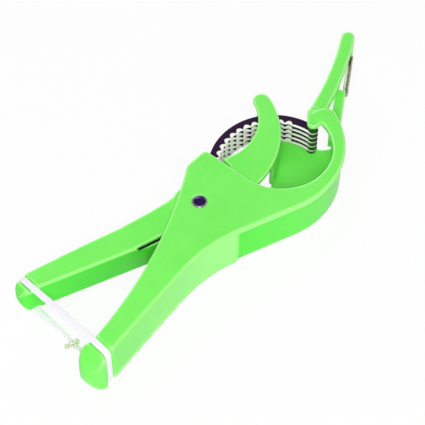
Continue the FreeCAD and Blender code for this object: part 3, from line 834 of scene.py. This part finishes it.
@dataclass
class Shells:
    """The front and back shells of the fixed handle and head."""

    voxel: float = 0.6 * MM
    rounds: int = 6
    knob: BluntEnd = field(default_factory=lambda: BluntEnd((-87.6, -18.5), 180.0, rounds=45))
    # Front shell walls take painted light rising towards +X; back shell walls take painted shade, strongest
    # just past the step and fading towards +X.
    finishes: dict[str, tuple[MouldedPlastic, PaintedWallShare]] = field(default_factory=lambda: {
        "front_shell": (GREEN, PaintedWallShare(0.9)),
        "back_shell": (GREEN_PAINTED_WALL_SHADE, PaintedWallShare(0.8, start=75.0, full=-1.8, beyond=0.0)),
    })

    def build(self) -> list[bpy.types.Object]:
        """Build both shells as softened copies.

        Returns:
            The new pieces.
        """
        pieces = []
        for node, (finish, walls) in self.finishes.items():
            piece = soft_copy(node, node + "_moulding", self.voxel, self.rounds, self.knob, walls)
            dress(piece, finish.material())
            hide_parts(node)
            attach(piece, Body.SHELL.value)
            pieces.append(piece)
        return pieces


@dataclass
class PusherLever:
    """The lever that carries the finger and the comb."""

    voxel: float = 0.55 * MM
    rounds: int = 6
    nose: BluntEnd = field(default_factory=lambda: BluntEnd((-83.4, 29.5), 160.5, rounds=25))
    # Painted shade and green bounce light on the lever's upright walls, rising towards -X.
    walls: PaintedWallShare = field(default_factory=lambda: PaintedWallShare(0.8, start=0.0, full=-50.0))

    def build(self) -> list[bpy.types.Object]:
        """Build the lever as a softened copy.

        Returns:
            The new pieces.
        """
        piece = soft_copy("pusher_lever", "pusher_moulding", self.voxel, self.rounds, self.nose, self.walls)
        dress(piece, GREEN_PAINTED_WALL_SHADE.material())
        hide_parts("pusher_lever")
        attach(piece, Body.LEVER.value)
        return [piece]


def loop_mesh(name: str, points: list[Point], closed: bool) -> bpy.types.Object:
    """Object whose mesh is a bare path.

    Args:
        name: the object's name.
        points: the path's points in metres.
        closed: whether the last point joins the first.

    Returns:
        The new object.
    """
    count = len(points)
    edges = [(i, (i + 1) % count) for i in range(count if closed else count - 1)]
    mesh = bpy.data.meshes.new(name)
    mesh.from_pydata(points, edges, [])
    return link(name, mesh)


def lathe(name: str, profile: list[tuple[float, float]], steps: int = 64) -> bpy.types.Object:
    """Turn a profile of radius and height, in millimetres, about the Z axis.

    Args:
        name: the object's name.
        profile: points from the axis at the top to the axis at the bottom.
        steps: divisions of the turn.

    Returns:
        The new object.
    """
    shape = bmesh.new()
    line = [shape.verts.new((radius * MM, 0.0, height * MM)) for radius, height in profile]
    rim = [shape.edges.new(pair) for pair in zip(line, line[1:])]
    bmesh.ops.spin(shape, geom=line + rim, axis=(0, 0, 1), cent=(0, 0, 0), steps=steps, angle=math.tau)
    bmesh.ops.remove_doubles(shape, verts=shape.verts, dist=LATHE_WELD)
    bmesh.ops.recalc_face_normals(shape, faces=shape.faces)
    return link_shape(name, shape)


@dataclass
class BladeStack:
    """Arc blades with scalloped ground edges, one above the other. Sizes in millimetres."""

    centre: tuple[float, float] = (44.0, -11.5)
    outer: float = 33.0
    width: float = 5.5
    tip_angle: float = 0.0
    root_angle: float = 136.0
    thickness: float = 0.6
    scallop_pitch: float = 4.4
    scallop_depth: float = 0.65
    bevel: float = 1.7
    lip: float = 0.2
    plain_grind: float = 0.8
    grind_power: float = 0.7
    edge_thickness: float = 0.12
    dark_face_fade: float = 0.12
    end_share: float = 0.995
    plain_tip: float = 20.0
    plain_root: float = 10.0
    count: int = 5
    first_level: float = 5.0
    pitch: float = 3.4
    steps_per_scallop: int = 8

    def section(self, angle: float) -> list[tuple[float, float, float]]:
        """Closed cross-section at an angle: radius, height and how much of it is ground.

        Args:
            angle: place along the blade in degrees.

        Returns:
            Radius, height and ground share of each corner.
        """
        half = self.width / 2
        middle = self.outer - half
        past = max(self.tip_angle - angle, angle - self.root_angle, 0.0)
        share = math.radians(past) * middle / half
        reach = half * math.sqrt(max(1.0 - share * share, 0.0))
        first = self.tip_angle + self.plain_tip
        last = self.root_angle - self.plain_root
        scoop = 0.0
        if first < angle < last:
            scallops = round(math.radians(last - first) * (self.outer - self.width) / self.scallop_pitch)
            place = (angle - first) / (last - first) * scallops
            scoop = math.sin(math.pi * (place % 1.0))
        edge = middle - reach + self.scallop_depth * scoop
        back = middle + reach
        grind = self.bevel * scoop ** self.grind_power
        if self.tip_angle < angle <= first:
            grind = self.plain_grind
        start = min(edge + self.lip + grind, back)
        # Past the ground band the face takes the painted dark reflection colour.
        dark_face_end = min(start + self.dark_face_fade, back)
        top = self.thickness / 2
        thin = self.edge_thickness / 2
        return [
            (back, top, 0.0), (dark_face_end, top, 0.0), (start, top, 1.0), (edge, thin, 1.0),
            (edge, -thin, 1.0), (start, -top, 1.0), (dark_face_end, -top, 0.0), (back, -top, 0.0),
        ]

    def one_blade(self) -> bpy.types.Object:
        """Mesh of the lowest blade.

        Returns:
            The new object.
        """
        overrun = self.end_share * math.degrees(self.width / 2 / (self.outer - self.width / 2))
        low = self.tip_angle - overrun
        high = self.root_angle + overrun
        scallop = math.degrees(self.scallop_pitch / (self.outer - self.width))
        steps = int((high - low) / scallop * self.steps_per_scallop)
        shape = bmesh.new()
        ground = shape.verts.layers.float.new("ground")
        rings = []
        for i in range(steps + 1):
            angle = low + (high - low) * i / steps
            turn = math.radians(angle)
            ring = []
            for radius, height, share in self.section(angle):
                x = self.centre[0] + radius * math.cos(turn)
                y = self.centre[1] + radius * math.sin(turn)
                vert = shape.verts.new((x * MM, y * MM, (self.first_level + height) * MM))
                vert[ground] = share
                ring.append(vert)
            rings.append(ring)
        for ring, after in zip(rings, rings[1:]):
            for j in range(len(ring)):
                k = (j + 1) % len(ring)
                shape.faces.new((ring[j], ring[k], after[k], after[j]))
        shape.faces.new(rings[0])
        shape.faces.new(rings[-1])
        bmesh.ops.remove_doubles(shape, verts=shape.verts, dist=BLADE_WELD)
        bmesh.ops.recalc_face_normals(shape, faces=shape.faces)
        return link_shape("slicing_blades", shape)

    def build(self) -> list[bpy.types.Object]:
        """Stack the blades with Geometry Nodes.

        Returns:
            The new piece.
        """
        piece = self.one_blade()
        board = GeometryBoard("blade_stack")
        count = board.size("Blade count", self.count, "Int")
        pitch = board.size("Blade pitch", self.pitch * MM)
        step = board.add("ShaderNodeCombineXYZ")
        line = board.add("MeshLine")
        stack = board.add("InstanceOnPoints")
        board.join(pitch, step.inputs["Z"])
        board.join(count, line.inputs["Count"])
        board.join(step.outputs["Vector"], line.inputs["Offset"])
        board.join(line.outputs["Mesh"], stack.inputs["Points"])
        board.join(board.source.outputs["Geometry"], stack.inputs["Instance"])
        board.close(stack.outputs["Instances"], SLICER.material())
        board.run(piece)
        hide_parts(*("slicing_blade_%d" % (i + 1) for i in range(self.count)))
        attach(piece, Body.SHELL.value)
        return [piece]


def sweep_wire(
    piece: bpy.types.Object, radius: float, material: bpy.types.Material, sides: int = 14,
) -> None:
    """Sweep a round section along a piece's path with Geometry Nodes.

    Args:
        piece: the object that holds the path.
        radius: the section's radius in metres.
        material: the finish.
        sides: corners of the section.
    """
    board = GeometryBoard(piece.name + "_sweep")
    size = board.size("Wire radius", radius)
    path = board.add("MeshToCurve")
    ring = board.add("CurvePrimitiveCircle", Resolution=sides)
    tube = board.add("CurveToMesh", Fill_Caps=True)
    board.join(board.source.outputs["Geometry"], path.inputs["Mesh"])
    board.join(size, ring.inputs["Radius"])
    board.join(path.outputs["Curve"], tube.inputs["Curve"])
    board.join(ring.outputs["Curve"], tube.inputs["Profile Curve"])
    board.close(tube.outputs["Mesh"], material)
    board.run(piece)
    shade_smooth(piece)


@dataclass
class ReturnSpring:
    """Torsion spring round the pivot with a leg in each handle. Sizes in millimetres."""

    radius: float = 5.75
    wire: float = 1.2
    low: float = 15.05
    high: float = 20.3
    short_angle: float = 240.0
    short_leg: float = 23.2
    long_angle: float = 161.6
    long_leg: float = 37.5
    full_turns: int = 2
    steps_per_turn: int = 40

    def foot(self, root: Point, angle: float, length: float) -> Point:
        """Far end of a straight leg.

        Args:
            root: where the leg leaves the coil.
            angle: the leg's heading in degrees.
            length: the leg's length.

        Returns:
            The end.
        """
        turn = math.radians(angle)
        x, y, z = root
        return (x + length * math.cos(turn), y + length * math.sin(turn), z)

    def path(self) -> list[Point]:
        """Points from the short leg's foot, round the coil and along the long leg.

        Returns:
            The points in metres.
        """
        start = self.short_angle - 90.0
        total = (start - self.long_angle - 90.0) % 360.0 + 360.0 * self.full_turns
        steps = int(total / 360.0 * self.steps_per_turn)
        coil = []
        for i in range(steps + 1):
            turn = math.radians(start - total * i / steps)
            level = self.low + (self.high - self.low) * i / steps
            coil.append((self.radius * math.cos(turn), self.radius * math.sin(turn), level))
        short_foot = self.foot(coil[0], self.short_angle, self.short_leg)
        long_foot = self.foot(coil[-1], self.long_angle, self.long_leg)
        return [(x * MM, y * MM, z * MM) for x, y, z in (short_foot, *coil, long_foot)]

    def build(self) -> list[bpy.types.Object]:
        """Build the wound wire.

        Returns:
            The new piece.
        """
        piece = loop_mesh("return_spring_wire", self.path(), closed=False)
        sweep_wire(piece, self.wire / 2 * MM, SPRING_STEEL.material())
        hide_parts("return_spring")
        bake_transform(piece)
        return [piece]


@dataclass
class RetainingBand:
    """Flat elastic round both handle ends, tied in a knot. Sizes in millimetres."""

    foot: tuple[float, float] = (-91.0, -18.5)
    angle: float = 83.9
    width: float = 3.2
    thickness: float = 0.9
    route: list[tuple[float, float]] = field(default_factory=lambda: [
        (26.0, 23.75), (45.8, 21.7), (56.65, 20.8), (56.65, 5.2), (45.8, 4.3),
        (20.0, 5.0), (7.9, 0.75), (-4.8, 0.7), (-4.8, 25.3), (7.9, 25.3),
    ])
    corner: float = 3.0
    corner_steps: int = 6
    edge_radius: float = 0.3
    edge_steps: int = 3
    cord: Span = (8.5, 45.0)
    cord_top: float = 8.0
    cord_share: float = 0.4
    cord_fade: float = 6.0
    knot_at: float = 20.0
    knot_level: float = 5.0
    knot_reach: float = 0.93
    knot_lobe: float = 1.1
    knot_rise: float = 0.72
    knot_start: float = 0.2
    knot_sweep: float = 0.94
    knot_steps: int = 48
    tails: tuple[Point, Point] = ((0.6, 5.0, 0.4), (2.4, 4.0, -0.5))
    strand: float = 0.75
    stretch: Span = (8.0, 46.0)
    stretch_level: float = 13.0

    def place(self, along: float, across: float, level: float) -> Point:
        """Point near the band's upright plane, in metres.

        Args:
            along: distance from the fixed handle's end.
            across: distance out of the plane.
            level: height.

        Returns:
            The point.
        """
        turn = math.radians(self.angle)
        x = self.foot[0] + along * math.cos(turn) - across * math.sin(turn)
        y = self.foot[1] + along * math.sin(turn) + across * math.cos(turn)
        return (x * MM, y * MM, level * MM)

    def build_strap(self) -> bpy.types.Object:
        """Sweep the flat section round both handles with Geometry Nodes.

        Returns:
            The strap.
        """
        strap = loop_mesh("elastic_band", [self.place(s, 0.0, z) for s, z in self.route], closed=True)
        board = GeometryBoard("flat_band")
        width = board.size("Band width", self.width * MM)
        thickness = board.size("Band thickness", self.thickness * MM)
        corner = board.size("Corner radius", self.corner * MM)
        path = board.add("MeshToCurve")
        bend = board.add("FilletCurve", mode="POLY", Count=self.corner_steps)
        section = board.add("CurvePrimitiveQuadrilateral")
        soft = board.add("FilletCurve", mode="POLY", Count=self.edge_steps, Radius=self.edge_radius * MM)
        sweep = board.add("CurveToMesh")
        board.join(board.source.outputs["Geometry"], path.inputs["Mesh"])
        board.join(path.outputs["Curve"], bend.inputs["Curve"])
        board.join(corner, bend.inputs["Radius"])
        board.join(width, section.inputs["Width"])
        board.join(thickness, section.inputs["Height"])
        board.join(section.outputs["Curve"], soft.inputs["Curve"])
        board.join(bend.outputs["Curve"], sweep.inputs["Curve"])
        board.join(soft.outputs["Curve"], sweep.inputs["Profile Curve"])
        board.close(sweep.outputs["Mesh"], ELASTIC.material())
        board.run(strap)
        self.gather(strap)
        return strap

    def gather(self, strap: bpy.types.Object) -> None:
        """Draw the lower strand together, where the knot pulls it into a cord.

        Args:
            strap: the swept band.
        """
        turn = math.radians(self.angle)
        out = Vector((-math.sin(turn), math.cos(turn), 0.0))
        along = Vector((math.cos(turn), math.sin(turn), 0.0))
        origin = Vector((self.foot[0] * MM, self.foot[1] * MM, 0.0))
        start, end = self.cord
        for vert in strap.data.vertices:
            if vert.co.z > self.cord_top * MM:
                continue
            place = (vert.co - origin).dot(along) / MM
            inside = min(place - start, end - place) / self.cord_fade
            draw = (1.0 - self.cord_share) * max(0.0, min(inside, 1.0))
            vert.co -= out * (vert.co - origin).dot(out) * draw

    def build_knot(self) -> bpy.types.Object:
        """Overhand knot on the lower strand with its two cut tails.

        Returns:
            The knot.
        """
        loops = []
        for i in range(self.knot_steps + 1):
            turn = math.tau * i / self.knot_steps * self.knot_sweep + self.knot_start
            along = self.knot_reach * (math.sin(turn) + self.knot_lobe * math.sin(2 * turn))
            across = self.knot_reach * (math.cos(turn) - self.knot_lobe * math.cos(2 * turn))
            loops.append((along, across, -self.knot_rise * math.sin(3 * turn)))
        first, last = self.tails
        points = []
        for along, across, rise in (first, *loops, last):
            points.append(self.place(self.knot_at + along, across, self.knot_level + rise))
        knot = loop_mesh("band_knot", points, closed=False)
        sweep_wire(knot, self.strand * MM, KNOT_PAINTED_SHADE_ELASTIC.material())
        return knot

    def build(self) -> list[bpy.types.Object]:
        """Build the band and its knot.

        Returns:
            The new pieces.
        """
        strap = self.build_strap()
        knot = self.build_knot()
        shade_smooth(strap)
        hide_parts("retaining_band")
        start, end = (self.place(along, 0.0, self.stretch_level) for along in self.stretch)
        for piece in (strap, knot):
            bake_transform(piece)
        return [strap, knot]


@dataclass
class Pivot:
    """Domed rivet with a rolled rim and a set tail. Radius and height in millimetres."""

    profile: list[tuple[float, float]] = field(default_factory=lambda: [
        (0.0, 26.58), (0.8, 26.56), (1.6, 26.46), (2.2, 26.26), (2.55, 26.02), (2.75, 25.92), (2.95, 25.95),
        (3.2, 26.02), (3.5, 25.95), (3.72, 25.72), (3.8, 25.4), (3.8, 25.0), (2.5, 25.0), (2.5, 0.7),
        (3.3, 0.7), (3.3, 0.15), (3.15, 0.0), (0.0, 0.0),
    ])
    bright_from: float = 3.05

    def build(self) -> list[bpy.types.Object]:
        """Turn the rivet.

        Returns:
            The new piece.
        """
        piece = lathe("pivot_rivet_turned", self.profile)
        ground = piece.data.attributes.new("ground", "FLOAT", "POINT")
        for vert in piece.data.vertices:
            ground.data[vert.index].value = float(vert.co.xy.length > self.bright_from * MM)
        dress(piece, RIVET_STEEL.material())
        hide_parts("pivot_rivet")
        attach(piece, Body.SHELL.value)
        return [piece]


@dataclass
class ShellScrews:
    """Cross-recess screws sunk in the back shell. Sizes in millimetres."""

    places: tuple[tuple[float, float], ...] = ((-30.0, -12.0), (-72.0, -17.0), (22.1, -27.8))
    head_radius: float = 2.5
    head_sides: int = 36
    head_low: float = 0.2
    head_high: float = 1.6
    shank_radius: float = 1.3
    shank_sides: int = 24
    shank_high: float = 11.1
    slot_width: float = 0.7
    slot_length: float = 3.0
    slot_cuts: tuple[tuple[float, float], ...] = ((0.0, 0.7), (90.0, 0.6))

    def build(self) -> list[bpy.types.Object]:
        """Set the screws at their places with Geometry Nodes.

        Returns:
            The new piece.
        """
        mesh = bpy.data.meshes.new("shell_screw_set")
        mesh.from_pydata([(x * MM, y * MM, 0.0) for x, y in self.places], [], [])
        piece = link("shell_screw_set", mesh)
        board = GeometryBoard("cross_screws")
        head_radius = board.size("Head radius", self.head_radius * MM)
        shank_radius = board.size("Shank radius", self.shank_radius * MM)
        head_height = self.head_high - self.head_low
        shank_height = self.shank_high - self.head_high
        head = board.add("MeshCylinder", Vertices=self.head_sides, Depth=head_height * MM)
        shank = board.add("MeshCylinder", Vertices=self.shank_sides, Depth=shank_height * MM)
        board.join(head_radius, head.inputs["Radius"])
        board.join(shank_radius, shank.inputs["Radius"])
        lift_head = board.add("Transform", Translation=(0, 0, (self.head_low + self.head_high) / 2 * MM))
        lift_shank = board.add("Transform", Translation=(0, 0, (self.head_high + self.shank_high) / 2 * MM))
        board.join(head.outputs["Mesh"], lift_head.inputs["Geometry"])
        board.join(shank.outputs["Mesh"], lift_shank.inputs["Geometry"])
        recess = board.add("MeshBoolean", operation="DIFFERENCE")
        board.join(lift_head.outputs["Geometry"], recess.inputs["Mesh 1"])
        for turn, depth in self.slot_cuts:
            bar = board.add("MeshCube", Size=(self.slot_length * MM, self.slot_width * MM, 2 * depth * MM))
            heading = (0, 0, math.radians(turn))
            seat = board.add("Transform", Translation=(0, 0, self.head_low * MM), Rotation=heading)
            board.join(bar.outputs["Mesh"], seat.inputs["Geometry"])
            board.join(seat.outputs["Geometry"], recess.inputs["Mesh 2"])
        screw = board.add("JoinGeometry")
        board.join(recess.outputs["Mesh"], screw.inputs["Geometry"])
        board.join(lift_shank.outputs["Geometry"], screw.inputs["Geometry"])
        spread = board.add("InstanceOnPoints")
        board.join(board.source.outputs["Geometry"], spread.inputs["Points"])
        board.join(screw.outputs["Geometry"], spread.inputs["Instance"])
        board.close(spread.outputs["Instances"], PIN_STEEL.material())
        board.run(piece)
        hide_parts("shell_screws")
        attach(piece, Body.SHELL.value)
        return [piece]


@dataclass
class Fittings:
    """Solids that stay as they are and get a finish."""

    finishes: dict[str, MouldedPlastic | Steel] = field(default_factory=lambda: {
        "blade_pin_tip": PIN_STEEL,
        "blade_pin_root": PIN_STEEL,
        # Post and spacers take the dark painted-shade green.
        "root_spacers": POST_PAINTED_SHADE,
        "tip_post": POST_PAINTED_SHADE,
        "pivot_sleeve": PIN_STEEL,
        "pivot_washer": PIN_STEEL,
        "peeler_blade": PEELER_STEEL,
    })

    def build(self) -> list[bpy.types.Object]:
        """Finish every kept solid.

        Returns:
            The solids' objects.
        """
        pieces = []
        for node, finish in self.finishes.items():
            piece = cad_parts[node]
            piece.data.materials.clear()
            piece.data.materials.append(finish.material())
            pieces.append(piece)
        return pieces


def main() -> None:
    """Build the studio and every sub-assembly, and report the pieces."""
    logging.basicConfig(level=logging.INFO, format="%(name)s: %(message)s")
    Studio().build()
    assemblies = (
        Shells(),
        PusherLever(),
        BladeStack(),
        ReturnSpring(),
        RetainingBand(),
        Pivot(),
        ShellScrews(),
        Fittings(),
    )
    for assembly in assemblies:
        for piece in assembly.build():
            LOG.info("%s: %s, %d faces", type(assembly).__name__, piece.name, len(piece.data.polygons))


if __name__ == "__main__":
    main()
